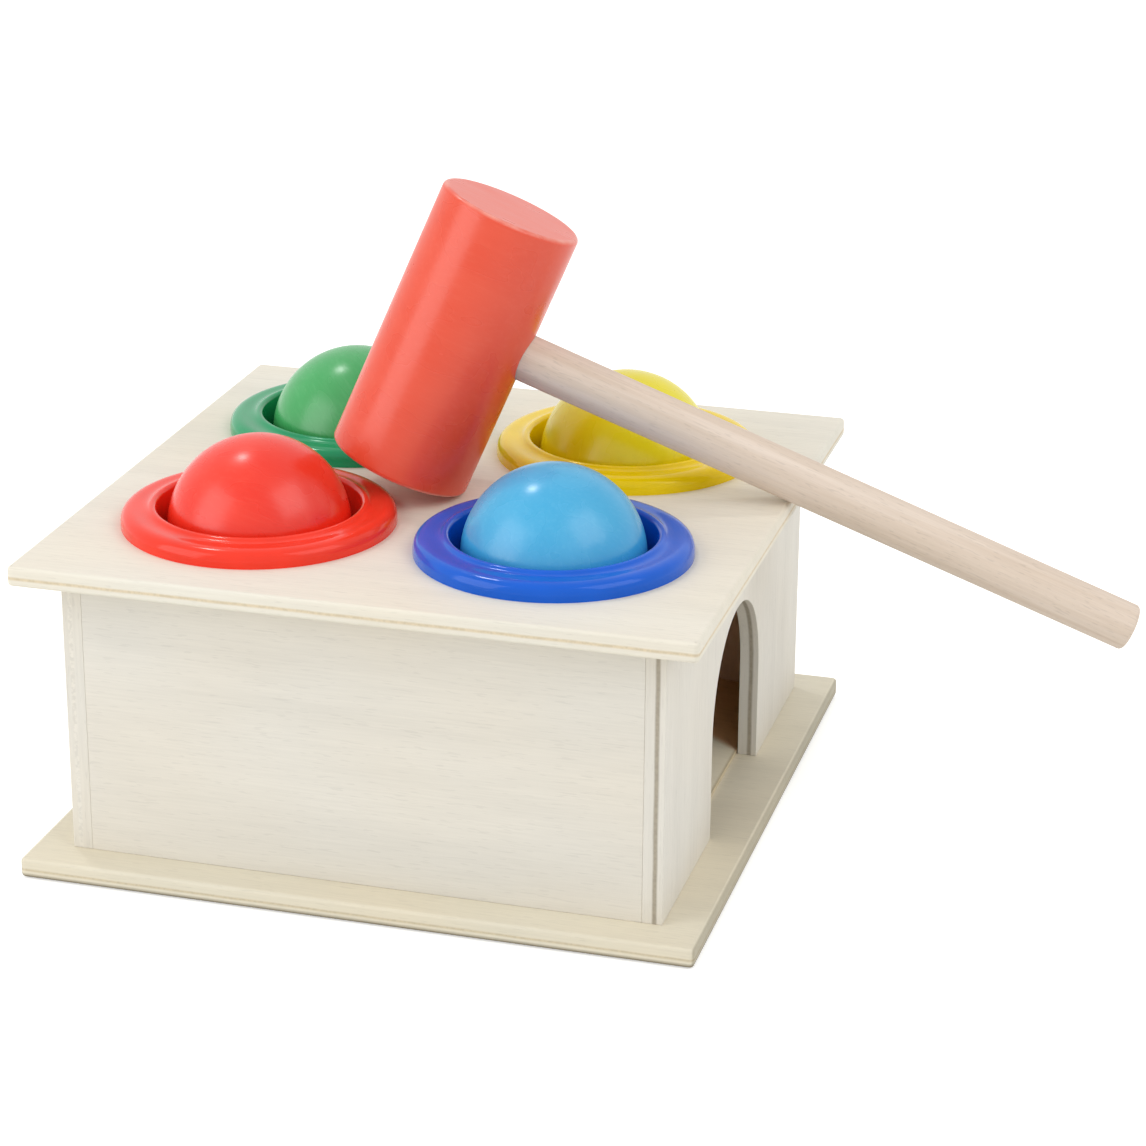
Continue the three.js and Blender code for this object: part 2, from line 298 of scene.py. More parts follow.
def stain(finish, share, hue):
    """Multiplies a hue into a finish's colour, fully where the share is one."""
    tree = finish.node_tree
    skin = tree.nodes["Principled BSDF"].inputs["Base Color"]
    tint = node(tree, "Mix", {0: share, 6: colour("#ffffff"), 7: colour(hue)}, data_type="RGBA").outputs[2]
    both = node(tree, "VectorMath", {0: skin.links[0].from_socket, 1: tint}, operation="MULTIPLY")
    tree.links.new(both.outputs[0], skin)


print("ply thickness, mm:", PLY)

# %% [markdown]
# ## Finishing a piece
# A bmesh is a mesh on the workbench: operators shape it in millimetres. When it is done it is scaled
# to metres, its normals are turned outwards, and it becomes an object that rides on a body of the
# frame, stands for that body's plain solid, and takes the finish it is given. Weighted
# normals keep broad flat faces flat beside their narrow rounded edges.

# %% Finishing a piece
SMOOTH_BELOW = math.radians(38)


def settle(bm, name, finish, body, cad_node):
    """Makes the finished piece from a bmesh in millimetres, and says how well it fits its solid."""
    bmesh.ops.remove_doubles(bm, verts=bm.verts, dist=0.0005)
    bmesh.ops.recalc_face_normals(bm, faces=bm.faces)
    bmesh.ops.scale(bm, vec=(MM, MM, MM), verts=bm.verts)
    mesh = bpy.data.meshes.new(name)
    bm.to_mesh(mesh)
    bm.free()
    mesh.materials.append(finish)
    mesh.shade_smooth()
    mesh.set_sharp_from_angle(angle=SMOOTH_BELOW)
    piece = bpy.data.objects.new(name, mesh)
    scene.collection.objects.link(piece)
    piece.modifiers.new("flat_faces", "WEIGHTED_NORMAL").keep_sharp = True
    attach(piece, body)
    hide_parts(cad_node)
    low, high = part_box(cad_node)
    corners = [Vector(c) for c in piece.bound_box]
    off = max((corners[0] - low).length, (corners[6] - high).length) / MM
    print(name, "faces", len(mesh.polygons), "off its solid by mm", round(off, 2))
    return piece


# %% [markdown]
# ## Base board
# The base and the top stand a centimetre proud of the box all round, and their edges are rounded over
# like a shelf's. The base is a cube drawn out to size: its upright corners are bevelled first, and
# then both rims.

# %% Base board
BASE_SIDE = 169.0
CORNER = 1.2
ROUND_OVER = 1.0
SHARP = math.radians(60)


def ease(bm, edges, offset, segments):
    """Rounds the edges over."""
    bmesh.ops.bevel(
        bm, geom=edges, offset=offset, segments=segments, profile=0.5, affect="EDGES", material=-1
    )


def corner_edges(bm, test):
    """The edges where two faces meet at a corner, and whose middle passes the test."""
    sharp = [e for e in bm.edges if len(e.link_faces) == 2 and e.calc_face_angle() > SHARP]
    return [e for e in sharp if test((e.verts[0].co + e.verts[1].co) / 2)]


def round_plate(bm, side):
    """Rounds a plate's upright corners, and then its upper and lower rims."""
    near = side / 2 - 0.01
    ease(bm, corner_edges(bm, lambda m: abs(m.x) > near and abs(m.y) > near), CORNER, 6)
    ease(bm, corner_edges(bm, lambda m: max(abs(m.x), abs(m.y)) > near - CORNER), ROUND_OVER, 6)


bm = bmesh.new()
bmesh.ops.create_cube(bm, size=1.0)
bmesh.ops.scale(bm, vec=(BASE_SIDE, BASE_SIDE, PLY), verts=bm.verts)
bmesh.ops.translate(bm, vec=(0, 0, PLY / 2), verts=bm.verts)
round_plate(bm, BASE_SIDE)
print("base board's faces:", len(bm.faces))

# %% [markdown]
# ## Base board's finish
# The base's two ends are end grain, which is greyer, and their grey also stands in for the shade on
# the right end. Its lower rim is darkened with painted shade, where the board meets the floor. Both
# are stained by their place on the board, in millimetres from its middle.

# %% Base board's finish
base_ply = plywood(
    "basswood_plywood_base", (0, 0, 0), (0, 0, 0), "#e0d8c4", "#e0d8c4", "#ccbea0", (0.36, 0.46)
)
tree = base_ply.node_tree
spot = node(tree, "SeparateXYZ", {0: own_frame(tree, (0, 0, 0), (0, 0, 0))}).outputs
aside = [node(tree, "Math", {0: spot[i]}, operation="ABSOLUTE").outputs[0] for i in range(2)]
reach = node(tree, "Math", {0: aside[0], 1: aside[1]}, operation="MAXIMUM").outputs[0]
rim = BASE_SIDE / 2
# Painted shade: the lowest millimetre or so of the rim is darkened, where the board meets the floor
at_rim = node(tree, "MapRange", {"Value": reach, "From Min": rim - 1.5, "From Max": rim - 0.8}).outputs[0]
low = node(tree, "MapRange", {"Value": spot[2], "From Min": 1.4, "From Max": 0.5}).outputs[0]
painted_rim_shade = node(tree, "Math", {0: at_rim, 1: low}, operation="MULTIPLY").outputs[0]
stain(base_ply, painted_rim_shade, "#9a9488")
# The ends' edges are greyed: end grain is greyer, and the grey is also painted shade for the right end
feeds = {"Value": aside[0], "From Min": rim - 0.6, "From Max": rim - 0.2}
end_grain_and_shade = node(tree, "MapRange", feeds).outputs[0]
stain(base_ply, end_grain_and_shade, "#d2d0ca")
settle(bm, "base_board", base_ply, "box", "base_plate")

# %% [markdown]
# ## Top board
# The top has four holes for the rings. Cutting them with a boolean would leave ragged faces, so each
# quarter is a circle bridged to a square. The holes were drilled by hand, so three of them are a
# millimetre or two off their square's middle. The quarters are merged, a border is drawn outwards from
# them, and the sheet is extruded to its thickness.

# %% Top board
TOP_SIDE = 168.0
TOP_FACE = 81.0
HALF_PITCH = 37.0
STATIONS = {"red": (-38.0, -37.0), "blue": (37.0, -37.0), "green": (-39.0, 39.0), "yellow": (35.0, 39.0)}
HOLE_RADIUS = 27.2
HOLE_STEPS = 96
HOLE_EASE = 0.4

bm = bmesh.new()
for x, y in STATIONS.values():
    done = set(bm.edges)
    middle = Vector((math.copysign(HALF_PITCH, x), math.copysign(HALF_PITCH, y), 0))
    diamond = Matrix.Translation(middle) @ Matrix.Rotation(math.pi / 4, 4, "Z")
    bmesh.ops.create_circle(bm, segments=4, radius=HALF_PITCH * math.sqrt(2), matrix=diamond)
    sides = [e for e in bm.edges if e not in done]
    bmesh.ops.subdivide_edges(bm, edges=sides, cuts=HOLE_STEPS // 4 - 1)
    place = Matrix.Translation((x, y, 0))
    bmesh.ops.create_circle(bm, segments=HOLE_STEPS, radius=HOLE_RADIUS, matrix=place)
    bmesh.ops.bridge_loops(bm, edges=[e for e in bm.edges if e not in done])
bmesh.ops.remove_doubles(bm, verts=bm.verts, dist=0.001)
rim = [e for e in bm.edges if e.is_boundary and max(map(abs, e.verts[0].co)) > 2 * HALF_PITCH - 0.01]
rim = [e for e in rim if max(map(abs, e.verts[1].co)) > 2 * HALF_PITCH - 0.01]
grown = bmesh.ops.extrude_edge_only(bm, edges=rim)["geom"]
border = [v for v in grown if isinstance(v, bmesh.types.BMVert)]
stretch = TOP_SIDE / (4 * HALF_PITCH)
bmesh.ops.scale(bm, vec=(stretch, stretch, 1), verts=border)
lifted = bmesh.ops.extrude_face_region(bm, geom=bm.faces[:])["geom"]
lifted = [v for v in lifted if isinstance(v, bmesh.types.BMVert)]
bmesh.ops.translate(bm, vec=(0, 0, PLY), verts=lifted)
bmesh.ops.recalc_face_normals(bm, faces=bm.faces)
round_plate(bm, TOP_SIDE)
ease(bm, corner_edges(bm, lambda m: max(abs(m.x), abs(m.y)) < 2 * HALF_PITCH), HOLE_EASE, 2)
bmesh.ops.translate(bm, vec=(0, 0, TOP_FACE - PLY), verts=bm.verts)
top_ply = plywood(
    "basswood_plywood_top", (0, 0, TOP_FACE - PLY), (0, 0, 0),
    "#e8e2d4", "#e4dac4", "#d8c8aa", (0.34, 0.48),
)
settle(bm, "top_board", top_ply, "box", "top_plate")

# %% [markdown]
# ## Walls
# The two side walls run the box's full depth, and the front and back walls are let in between them,
# so the front shows the side walls' edges as thin upright stripes. Their grain is upright and the
# front's is level. A board is a cube drawn out to size with its edges just broken. The right wall has
# the doorway, so it is drawn as an outline: up the jamb, a half turn of spin for the round head, down
# the other jamb and round the wall. That outline is filled and extruded to its thickness.

# %% Walls
BOX_SIDE = 149.0
WALL_HEIGHT = 71.0
WALL_MIDDLE = PLY + WALL_HEIGHT / 2
INNER_SIDE = BOX_SIDE - 2 * PLY
BROKEN_EDGE = 0.18
WALL_FACE = "#e1dcd2"
RED_VENEER_AND_SHADE = "#f8caac"
SAWN_CORE = "#a89f8f"
CLEAN_CORE = "#e0dbd0"
WALL_SPAN = (0.48, 0.69)
LEVEL_OUT = (90, 0, 0)
UPRIGHT_OUT = (0, 90, 0)
UPRIGHT_IN = (0, -90, 0)
UPRIGHT_BACK = (-90, -90, 0)


def sawn_board(size, middle):
    """A board drawn out from a cube, with its edges broken."""
    bm = bmesh.new()
    bmesh.ops.create_cube(bm, size=1.0)
    bmesh.ops.scale(bm, vec=size, verts=bm.verts)
    ease(bm, bm.edges[:], BROKEN_EDGE, 3)
    bmesh.ops.translate(bm, vec=middle, verts=bm.verts)
    return bm


def wall_ply(side, start, turn, core, inside=WALL_FACE):
    """Plywood for a wall, from a point on its inner face and turned so that Z comes out of the box."""
    return plywood(f"basswood_plywood_{side}", start, turn, WALL_FACE, inside, core, WALL_SPAN)


wall_face = BOX_SIDE / 2
inner_face = wall_face - PLY
front_ply = wall_ply("front", (0, -inner_face, PLY), LEVEL_OUT, SAWN_CORE)
back_ply = wall_ply("back", (40, inner_face, PLY), UPRIGHT_BACK, SAWN_CORE, RED_VENEER_AND_SHADE)
left_ply = wall_ply("left", (-inner_face, 15, PLY), UPRIGHT_IN, CLEAN_CORE)
right_ply = wall_ply("right", (inner_face, 0, PLY), UPRIGHT_OUT, SAWN_CORE)
cross_size = (INNER_SIDE, PLY, WALL_HEIGHT)
setback = wall_face - PLY / 2
front = sawn_board(cross_size, (0, -setback, WALL_MIDDLE))
settle(front, "front_panel", front_ply, "box", "front_wall")
back = sawn_board(cross_size, (0, setback, WALL_MIDDLE))
settle(back, "back_panel", back_ply, "box", "back_wall")
left = sawn_board((PLY, BOX_SIDE, WALL_HEIGHT), (-setback, 0, WALL_MIDDLE))
settle(left, "left_panel", left_ply, "box", "left_wall")

# %% Doorway wall
DOOR_WIDTH = 52.0
DOOR_HEIGHT = 52.0
ARCH_STEPS = 48
jamb = DOOR_WIDTH / 2
spring = DOOR_HEIGHT - jamb


def draw(bm, points, start=None):
    """Draws a line through points, from a vertex that is there already if one is given."""
    last = start
    for point in points:
        tip = bm.verts.new(point)
        if last is not None:
            bm.edges.new((last, tip))
        last = tip
    return last


bm = bmesh.new()
tip = draw(bm, [(0, -jamb, 0), (0, -jamb, spring)])
swept = bmesh.ops.spin(
    bm, geom=[tip], cent=(0, 0, spring), axis=(-1, 0, 0), angle=math.pi, steps=ARCH_STEPS
)
tip = next(v for v in swept["geom_last"] if isinstance(v, bmesh.types.BMVert))
outside = [(0, wall_face, 0), (0, wall_face, WALL_HEIGHT), (0, -wall_face, WALL_HEIGHT), (0, -wall_face, 0)]
draw(bm, [(0, jamb, 0)] + outside + [(0, -jamb, 0)], tip)
bmesh.ops.remove_doubles(bm, verts=bm.verts, dist=0.001)
bmesh.ops.contextual_create(bm, geom=bm.edges[:])
thick = bmesh.ops.extrude_face_region(bm, geom=bm.faces[:])["geom"]
bmesh.ops.translate(bm, vec=(PLY, 0, 0), verts=[v for v in thick if isinstance(v, bmesh.types.BMVert)])
bmesh.ops.recalc_face_normals(bm, faces=bm.faces)
ease(bm, corner_edges(bm, lambda m: True), BROKEN_EDGE, 3)
bmesh.ops.translate(bm, vec=(wall_face - PLY, 0, PLY), verts=bm.verts)
settle(bm, "doorway_panel", right_ply, "box", "right_wall")

# %% [markdown]
# ## Ramp
# Inside the box a thin board slopes from the left wall down to the doorway's sill, on two wedge-shaped
# rails of pine. Through the doorway only its lower end shows. Each is a side outline of a few points,
# filled and extruded across the box. The ramp is pale only on a patch that narrows inwards from the
# doorway: that patch is painted light, where light falls in through the doorway. Beyond its slanting
# edge the ramp is stained to the reddish veneer of the back wall's inside, as painted shade.

# %% Ramp and rails
FIT_GAP = 0.3
RAMP_PLY = 3.0
RAMP_RISE = 14.0
RAMP_TOE = 1.0
RAIL_WIDTH = 8.0
RAIL_STOP = 24.0
LIT_PATCH_HALF = 26.0
LIT_PATCH_SPLAY = 0.66
ramp_half = INNER_SIDE / 2 - FIT_GAP
slope = (RAMP_RISE - RAMP_TOE) / (2 * ramp_half)


def side_cut(outline, width, middle):
    """A strip with a side outline of (x, z) points, extruded across the box, with broken edges."""
    bm = bmesh.new()
    draw(bm, [(x, -width / 2, z) for x, z in outline + outline[:1]])
    bmesh.ops.remove_doubles(bm, verts=bm.verts, dist=0.001)
    bmesh.ops.contextual_create(bm, geom=bm.edges[:])
    wide = bmesh.ops.extrude_face_region(bm, geom=bm.faces[:])["geom"]
    bmesh.ops.translate(bm, vec=(0, width, 0), verts=[v for v in wide if isinstance(v, bmesh.types.BMVert)])
    bmesh.ops.recalc_face_normals(bm, faces=bm.faces)
    ease(bm, corner_edges(bm, lambda m: True), 0.2, 2)
    bmesh.ops.translate(bm, vec=middle, verts=bm.verts)
    return bm


planed = ramp_half - (RAMP_PLY - RAMP_TOE) / slope
ramp_outline = [
    (-ramp_half, RAMP_RISE - RAMP_PLY), (planed, 0), (ramp_half, 0),
    (ramp_half, RAMP_TOE), (-ramp_half, RAMP_RISE),
]
bm = side_cut(ramp_outline, 2 * ramp_half, (0, 0, PLY))
tilt = math.degrees(math.atan(slope))
ramp_ply = plywood(
    "lauan_plywood_ramp", (-ramp_half, 0, PLY + RAMP_RISE - RAMP_PLY), (0, tilt, 0),
    "#ece2ca", "#d9c6a2", "#a58a66", (0.34, 0.60), RAMP_PLY,
)
tree = ramp_ply.node_tree
spot = node(tree, "SeparateXYZ", {0: own_frame(tree, (INNER_SIDE / 2, 0, 0), (0, 0, 0))}).outputs
aside = node(tree, "Math", {0: spot[1]}, operation="ABSOLUTE").outputs[0]
aside = node(tree, "Math", {0: spot[0], 1: LIT_PATCH_SPLAY, 2: aside}, operation="MULTIPLY_ADD").outputs[0]
# Painted light and shade: a pale patch narrowing in from the doorway, and reddish painted shade beyond it
feeds = {"Value": aside, "From Min": LIT_PATCH_HALF - 1.5, "From Max": LIT_PATCH_HALF + 1.5}
shade_beyond_lit_patch = node(tree, "MapRange", feeds).outputs[0]
stain(ramp_ply, shade_beyond_lit_patch, RED_VENEER_AND_SHADE)
toe = node(tree, "MapRange", {"Value": spot[0], "From Min": -1.2, "From Max": -0.6}).outputs[0]
stain(ramp_ply, toe, "#e2dacc")
settle(bm, "ramp", ramp_ply, "box", "ramp_board")

rail_ply = plywood(
    "sawn_pine_rail", (0, 0, -20), (0, 0, 0), "#dcc69a", "#dcc69a", "#dcc69a", (0.4, 0.6), 100.0
)
thin_end = ramp_half - (RAMP_PLY + FIT_GAP - RAMP_TOE) / slope - RAIL_STOP
seat_high = RAMP_RISE - RAMP_PLY - FIT_GAP
seat_low = seat_high - slope * (thin_end + ramp_half)
rail_outline = [(-ramp_half, 0), (thin_end, 0), (thin_end, seat_low), (-ramp_half, seat_high)]
rail_place = ramp_half - RAIL_WIDTH / 2
for side, y in (("front", -rail_place), ("back", rail_place)):
    bm = side_cut(rail_outline, RAIL_WIDTH, (0, y, PLY))
    settle(bm, f"rail_{side}", rail_ply, "box", f"ramp_rail_{side}")

# %% [markdown]
# ## Rings
# Each ball sits in a soft moulded ring. Its domed flange covers the hole's edge and dips to a groove, a
# rolled lip stands beside the groove round the ball, and a sleeve goes down through the board to a snap
# bead and eight springy fingers that hold the ball from below. It is a turned form, so one profile is
# drawn and spun. The flange is two Bezier curves and the lip an arc. The slits between the fingers are
# then sawn out.

# %% Ring profile
RING_RADIUS = 33.8
RING_STEPS = 128
BEAD = Vector((26.1, 4.05))
BEAD_RADIUS = 1.1
CREST = (30.6, 4.35)
DOME = [(RING_RADIUS, 1.0), (RING_RADIUS, 3.2), (32.7, 4.35), CREST]
DIP = [CREST, (29.4, 4.35), (27.65, 4.05)]
BORE = [(24.0, -2.5), (23.4, -5.3), (20.75, -10.4), (21.35, -11.6), (25.2, -7.9), (27.9, -6.6), (26.9, -5.3)]
SLEEVE = [(26.9, 0.0), (RING_RADIUS, 0.0)]
SLITS = 8
SLIT_WIDTH = 2.4
SLIT_TOP = -5.6
SLIT_DEPTH = 19.0


def upright(points):
    """Profile points of (radius, height), stood up in the XZ plane."""
    return [(p[0], 0, p[1]) for p in points]


def quarter(bm, tip, middle, degrees=90, steps=6):
    """Sweeps the end of a profile round a point, outwards from the axis and up."""
    swept = bmesh.ops.spin(
        bm, geom=[tip], cent=(middle[0], 0, middle[1]), axis=(0, -1, 0),
        angle=math.radians(degrees), steps=steps,
    )
    return next(v for v in swept["geom_last"] if isinstance(v, bmesh.types.BMVert))


def spin_round(bm, steps):
    """Turns a profile into a body of revolution about Z."""
    bmesh.ops.spin(
        bm, geom=bm.verts[:] + bm.edges[:], axis=(0, 0, 1), cent=(0, 0, 0),
        angle=2 * math.pi, steps=steps, use_merge=True,
    )
    bmesh.ops.remove_doubles(bm, verts=bm.verts, dist=0.001)
    bmesh.ops.recalc_face_normals(bm, faces=bm.faces)


def cut_away(bm, tools):
    """Takes the tools' shapes out of a solid, as a saw or a drill does."""
    things = []
    for shape in [bm, *tools]:
        mesh = bpy.data.meshes.new("blank")
        shape.to_mesh(mesh)
        shape.free()
        things.append(bpy.data.objects.new("blank", mesh))
        scene.collection.objects.link(things[-1])
    for tool in things[1:]:
        cutter = things[0].modifiers.new("cut", "BOOLEAN")
        cutter.object = tool
    graph = bpy.context.evaluated_depsgraph_get()
    left = bmesh.new()
    left.from_object(things[0], graph)
    for thing in things:
        bpy.data.objects.remove(thing)
    return left


bm = bmesh.new()
bead_start = BEAD + BEAD_RADIUS * Vector((1, 1)).normalized()
dome = interpolate_bezier(*[Vector(p) for p in DOME], 16)
dip = interpolate_bezier(*[Vector(p) for p in DIP], bead_start, 12)
tip = draw(bm, upright(dome + dip[1:]))
tip = quarter(bm, tip, BEAD, 135, 10)
draw(bm, upright(BORE + SLEEVE + DOME[:1]), tip)
bmesh.ops.remove_doubles(bm, verts=bm.verts, dist=0.001)
spin_round(bm, RING_STEPS)
saws = []
for i in range(SLITS // 2):
    saw = bmesh.new()
    bmesh.ops.create_cube(saw, size=1.0)
    bmesh.ops.scale(saw, vec=(2 * RING_RADIUS, SLIT_WIDTH, SLIT_DEPTH), verts=saw.verts)
    bmesh.ops.translate(saw, vec=(0, 0, SLIT_TOP - SLIT_DEPTH / 2), verts=saw.verts)
    around = Matrix.Rotation((i + 0.5) * 2 * math.pi / SLITS, 3, "Z")
    bmesh.ops.rotate(saw, verts=saw.verts, matrix=around)
    saws.append(saw)
ring_form = cut_away(bm, saws)
print("ring faces:", len(ring_form.faces))

# %% [markdown]
# ## Moulded plastic
# The rings are injection moulded from a soft polyethylene, dyed right through. The mould was
# polished, so they shine, but the plastic shrinks as it cools and leaves a faint orange peel in the
# reflections. Handling adds fine scuffs that dull the shine here and there.

# %% Rings
DYES = {"red": "#f23a26", "blue": "#0f5ccc", "green": "#1f9a64", "yellow": "#f0d000"}


def moulded_plastic(name, middle, dye):
    """Polyethylene dyed right through: a clean colour, a soft shine and a trace of orange peel."""
    finish, tree, shader = new_finish(name)
    place = own_frame(tree, middle, (0, 0, 0))
    flow = streaks(tree, place, 14, 14, 2.0)
    peel = streaks(tree, place, 1.6, 1.6, 1.0)
    scuff = streaks(tree, place, 9, 0.5, 1.0)
    feeds = {"Value": flow, "From Min": 0.3, "From Max": 0.7, "To Min": 0.92, "To Max": 1.06}
    depth = node(tree, "MapRange", feeds)
    dyed = node(tree, "VectorMath", {0: colour(dye)[:3], "Scale": depth.outputs[0]}, operation="SCALE")
    tree.links.new(dyed.outputs[0], shader.inputs["Base Color"])
    feeds = {"Value": scuff, "From Min": 0.55, "From Max": 0.75, "To Min": 0.13, "To Max": 0.22}
    rough = node(tree, "MapRange", feeds)
    tree.links.new(rough.outputs[0], shader.inputs["Roughness"])
    bump = node(tree, "Bump", {"Height": peel, "Strength": 0.12, "Distance": 0.05 * MM})
    tree.links.new(bump.outputs[0], shader.inputs["Normal"])
    shader.inputs["IOR"].default_value = 1.51
    shader.inputs["Specular Tint"].default_value = [0.45 + 0.55 * c for c in colour(dye)]
    return finish


for name, (x, y) in STATIONS.items():
    middle = (x, y, TOP_FACE)
    bm = ring_form.copy()
    bmesh.ops.translate(bm, vec=middle, verts=bm.verts)
    plastic = moulded_plastic(f"moulded_polyethylene_{name}", middle, DYES[name])
    settle(bm, f"flexible_ring_{name}", plastic, "box", f"ring_{name}")
ring_form.free()

# %% [markdown]
# ## Painted wood
# The balls and the mallet's head are turned from a close-grained hardwood and sprayed with a satin
# toy paint. The coat is thin, so the grain still lifts it in fine lines, and the colour is a little
# uneven where it soaked in. Each ball lies at its own angle, and so does its grain.

# %% Balls
BALL_RADIUS = 22.5
BALL_SINK = 0.9
BALL_STEPS = 96
BALL_PAINTS = {
    "red": ("#ec2e18", "#f04a36", (35, 20, 10)),
    "blue": ("#3da7d6", "#5cb6e0", (-25, 50, 80)),
    "green": ("#3fa85c", "#5cb874", (60, -30, 140)),
    "yellow": ("#e8da08", "#eee024", (15, 65, 220)),
}


def painted_wood(name, middle, turn, paint, thin, rough):
    """Satin paint on turned wood: soft uneven colour, and grain that shows as fine raised lines."""
    finish, tree, shader = new_finish(name)
    place = own_frame(tree, middle, turn)
    cloud = streaks(tree, place, 22, 9, 2.0)
    grain = streaks(tree, place, 30, 0.9, 3.0)
    soak = node(tree, "MapRange", {"Value": cloud, "From Min": 0.35, "From Max": 0.7, "To Max": 0.35})
    line = node(tree, "MapRange", {"Value": grain, "From Min": 0.5, "From Max": 0.75, "To Max": 0.3})
    share = node(tree, "Math", {0: soak.outputs[0], 1: line.outputs[0]})
    coat = node(tree, "Mix", {0: share.outputs[0], 6: colour(paint), 7: colour(thin)}, data_type="RGBA")
    tree.links.new(coat.outputs[2], shader.inputs["Base Color"])
    sheen = node(
        tree, "MapRange",
        {"Value": cloud, "From Min": 0.3, "From Max": 0.7, "To Min": rough - 0.04, "To Max": rough + 0.06},
    )
    tree.links.new(sheen.outputs[0], shader.inputs["Roughness"])
    bump = node(tree, "Bump", {"Height": grain, "Strength": 0.2, "Distance": 0.06 * MM})
    tree.links.new(bump.outputs[0], shader.inputs["Normal"])
    shader.inputs["IOR"].default_value = 1.5
    return finish, tree, shader, place, coat


ball_form = bmesh.new()
tip = draw(ball_form, [(0, 0, BALL_RADIUS)])
bmesh.ops.spin(
    ball_form, geom=[tip], cent=(0, 0, 0), axis=(0, 1, 0), angle=math.pi, steps=BALL_STEPS // 2
)
spin_round(ball_form, BALL_STEPS)
for name, (x, y) in STATIONS.items():
    middle = (x, y, TOP_FACE - BALL_SINK)
    paint, thin, turn = BALL_PAINTS[name]
    bm = ball_form.copy()
    bmesh.ops.translate(bm, vec=middle, verts=bm.verts)
    satin = painted_wood(f"satin_paint_on_wood_{name}", middle, turn, paint, thin, 0.26)[0]
    settle(bm, f"wooden_ball_{name}", satin, f"{name}_ball", f"ball_{name}")
ball_form.free()

# %% [markdown]
# ## Mallet
# The mallet leans on the bench: its head stands on a rim amid the rings, and its handle lies over
# the right edge of the top board. It is modelled upright in its own frame, with the head's axis as Z
# and the handle's as X, and then laid where the frame has it. The head is a turned cylinder with
# rounded rims and a drilled socket. Its profile has extra rings beside the rims, so that the broad
# faces stay smooth.

# %% Mallet's place and head
MALLET_AT = (2.110, -0.694, 123.223)
MALLET_TURN = (-4.5, 23.213, 10.3)
HEAD_RADIUS = 18.0
HEAD_FOOT = -38.3
HEAD_CROWN = 32.7
HEAD_RIM = 1.2
SOCKET_DEPTH = 24.0
HANDLE_RADIUS = 6.0
TURNED_STEPS = 96
lean = Matrix.Translation(MALLET_AT) @ Euler([math.radians(a) for a in MALLET_TURN]).to_matrix().to_4x4()

bm = bmesh.new()
flat = HEAD_RADIUS - HEAD_RIM
tip = draw(bm, upright([(0, HEAD_FOOT), (flat - 0.8, HEAD_FOOT), (flat, HEAD_FOOT)]))
tip = quarter(bm, tip, (flat, HEAD_FOOT + HEAD_RIM))
rows = 24
rise = (HEAD_CROWN - HEAD_FOOT - 2 * HEAD_RIM) / rows
tip = draw(bm, upright([(HEAD_RADIUS, HEAD_FOOT + HEAD_RIM + rise * i) for i in range(1, rows + 1)]), tip)
tip = quarter(bm, tip, (flat, HEAD_CROWN - HEAD_RIM))
draw(bm, upright([(flat - 0.8, HEAD_CROWN), (0, HEAD_CROWN)]), tip)
spin_round(bm, TURNED_STEPS)
drill = bmesh.new()
bmesh.ops.create_cone(
    drill, cap_ends=True, segments=64, radius1=HANDLE_RADIUS + FIT_GAP, radius2=HANDLE_RADIUS + FIT_GAP,
    depth=2 * SOCKET_DEPTH,
)
bmesh.ops.rotate(drill, verts=drill.verts, matrix=Matrix.Rotation(math.pi / 2, 3, "Y"))
bmesh.ops.translate(drill, vec=(HEAD_RADIUS, 0, 0), verts=drill.verts)
bm = cut_away(bm, [drill])
bmesh.ops.transform(bm, matrix=lean, verts=bm.verts)

coral, tree, shader, place, coat = painted_wood(
    "satin_paint_on_beech_head", MALLET_AT, MALLET_TURN, "#e44d30", "#ea6046", 0.28
)
spot = node(tree, "SeparateXYZ", {0: place}).outputs
across = node(tree, "CombineXYZ", {0: spot[0], 1: spot[1]}).outputs[0]
across = node(tree, "VectorMath", {0: across}, operation="LENGTH").outputs["Value"]
along = node(tree, "Math", {0: spot[2], 1: (HEAD_FOOT + HEAD_CROWN) / 2}, operation="SUBTRACT").outputs[0]
along = node(tree, "Math", {0: along}, operation="ABSOLUTE").outputs[0]
end = (HEAD_CROWN - HEAD_FOOT) / 2
at_end = node(tree, "MapRange", {"Value": along, "From Min": end - 0.9, "From Max": end - 0.1}).outputs[0]
feeds = {"Value": across, "From Min": HEAD_RADIUS - 1.6, "From Max": HEAD_RADIUS - 0.5}
at_rim = node(tree, "MapRange", feeds).outputs[0]
feeds = {"Value": streaks(tree, place, 7, 7), "From Min": 0.3, "From Max": 0.7}
rubbed = node(tree, "MapRange", feeds).outputs[0]
worn = node(tree, "Math", {0: at_end, 1: at_rim}, operation="MULTIPLY").outputs[0]
worn = node(tree, "Math", {0: worn, 1: rubbed}, operation="MULTIPLY").outputs[0]
# The whole end face is a little paler: partly chalky end grain, partly painted light from above; the rubbed
# rims are real wear
worn_and_lit_end = node(tree, "Math", {0: at_end, 1: 0.08}, operation="MULTIPLY").outputs[0]
worn_and_lit_end = node(tree, "Math", {0: worn, 1: 0.6, 2: worn_and_lit_end}, operation="MULTIPLY_ADD", use_clamp=True).outputs[0]
coat = node(tree, "Mix", {0: worn_and_lit_end, 6: coat.outputs[2], 7: colour("#f6cabb")}, data_type="RGBA").outputs[2]
tree.links.new(coat, shader.inputs["Base Color"])
settle(bm, "mallet_head_turned", coral, "mallet", "mallet_head")

# %% [markdown]
# ## Handle
# The handle is a plain beech dowel, sanded and left bare. Beech is pinkish and pale, with long fine
# streaks and the short brown flecks that give it away. Its end shows the cut pores.

# %% Handle
HANDLE_FOOT = -5.7
HANDLE_REACH = 184.0
HANDLE_EDGE = 1.0


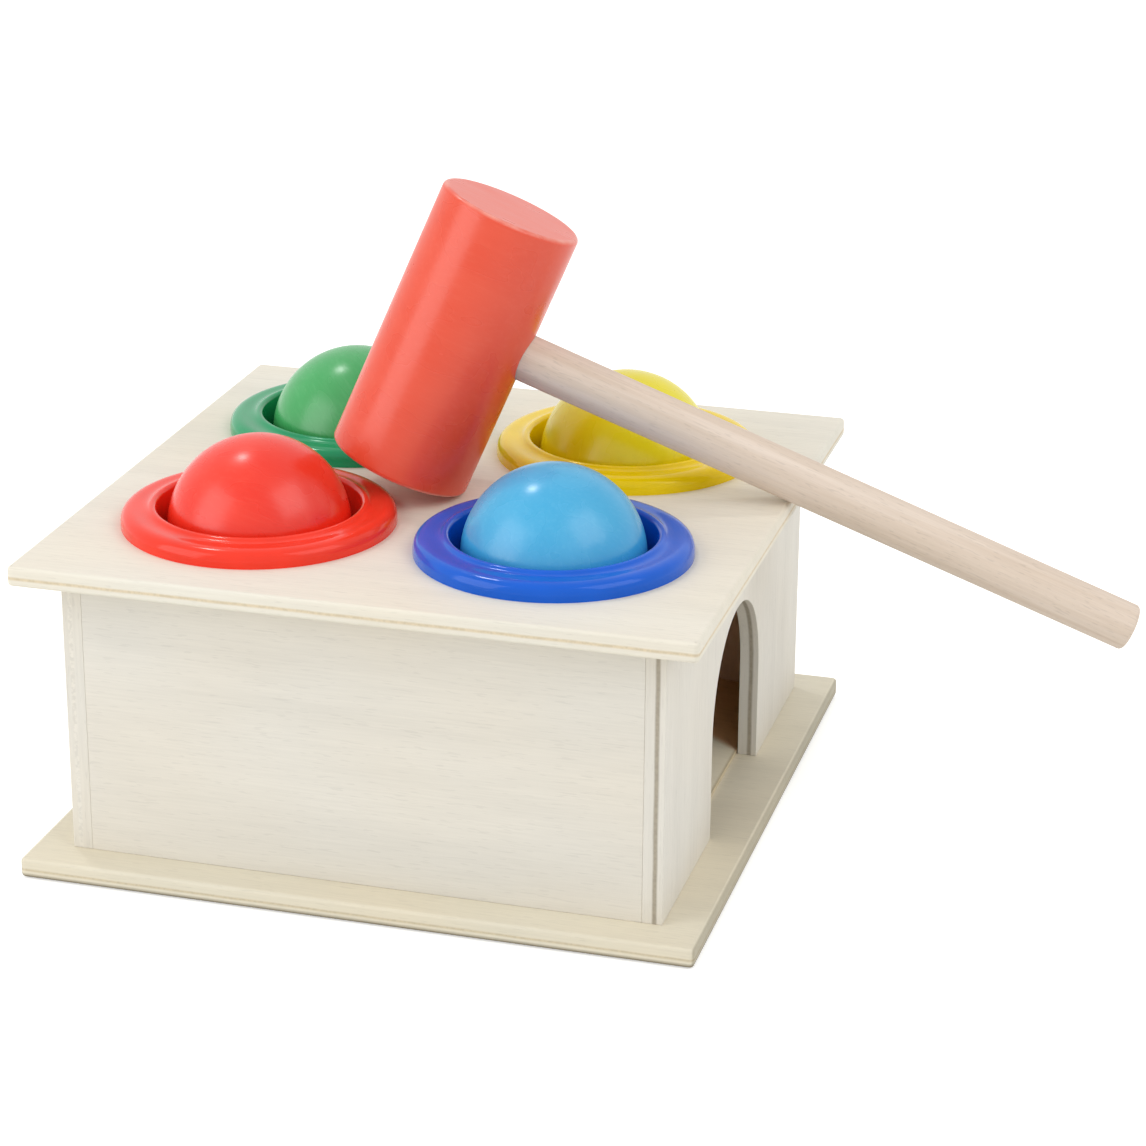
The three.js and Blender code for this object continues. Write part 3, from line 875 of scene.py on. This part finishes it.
def bare_beech(name, middle, turn):
    """Sanded beech: long pale streaks and short brown flecks along the grain, and no shine."""
    finish, tree, shader = new_finish(name)
    place = own_frame(tree, middle, turn)
    band = streaks(tree, place, 90, 2.6, 3.0)
    fibre = streaks(tree, place, 14, 0.4, 2.0)
    fleck = streaks(tree, place, 2.6, 0.35, 0.0)
    mild = node(tree, "MapRange", {"Value": band, "From Min": 0.32, "From Max": 0.68})
    wood = node(
        tree, "Mix", {0: mild.outputs[0], 6: colour("#e6d6c7"), 7: colour("#d7c4b1")}, data_type="RGBA"
    )
    thread = node(
        tree, "MapRange", {"Value": fibre, "From Min": 0.3, "From Max": 0.7, "To Min": 0.96, "To Max": 1.02}
    )
    tick = node(
        tree, "MapRange", {"Value": fleck, "From Min": 0.66, "From Max": 0.74, "To Min": 1.0, "To Max": 0.9}
    )
    shade = node(tree, "Math", {0: thread.outputs[0], 1: tick.outputs[0]}, operation="MULTIPLY")
    wood = node(tree, "VectorMath", {0: wood.outputs[2], "Scale": shade.outputs[0]}, operation="SCALE")
    tree.links.new(wood.outputs[0], shader.inputs["Base Color"])
    shader.inputs["Roughness"].default_value = 0.6
    shader.inputs["Specular IOR Level"].default_value = 0.35
    relief = node(tree, "Math", {0: tick.outputs[0], 1: fibre})
    bump = node(tree, "Bump", {"Height": relief.outputs[0], "Strength": 0.3, "Distance": 0.1 * MM})
    tree.links.new(bump.outputs[0], shader.inputs["Normal"])
    return finish


bm = bmesh.new()
tip = draw(bm, upright([(0, HANDLE_FOOT), (HANDLE_RADIUS, HANDLE_FOOT)]))
rows = 20
reach = HANDLE_REACH - HANDLE_EDGE - HANDLE_FOOT
tip = draw(bm, upright([(HANDLE_RADIUS, HANDLE_FOOT + reach * i / rows) for i in range(1, rows + 1)]), tip)
tip = quarter(bm, tip, (HANDLE_RADIUS - HANDLE_EDGE, HANDLE_REACH - HANDLE_EDGE))
draw(bm, upright([(HANDLE_RADIUS - HANDLE_EDGE - 0.6, HANDLE_REACH), (0, HANDLE_REACH)]), tip)
spin_round(bm, 64)
bmesh.ops.rotate(bm, verts=bm.verts, matrix=Matrix.Rotation(math.pi / 2, 3, "Y"))
bmesh.ops.transform(bm, matrix=lean, verts=bm.verts)
beech = bare_beech("sanded_beech_dowel", MALLET_AT, MALLET_TURN)
settle(bm, "mallet_dowel", beech, "mallet", "mallet_handle")
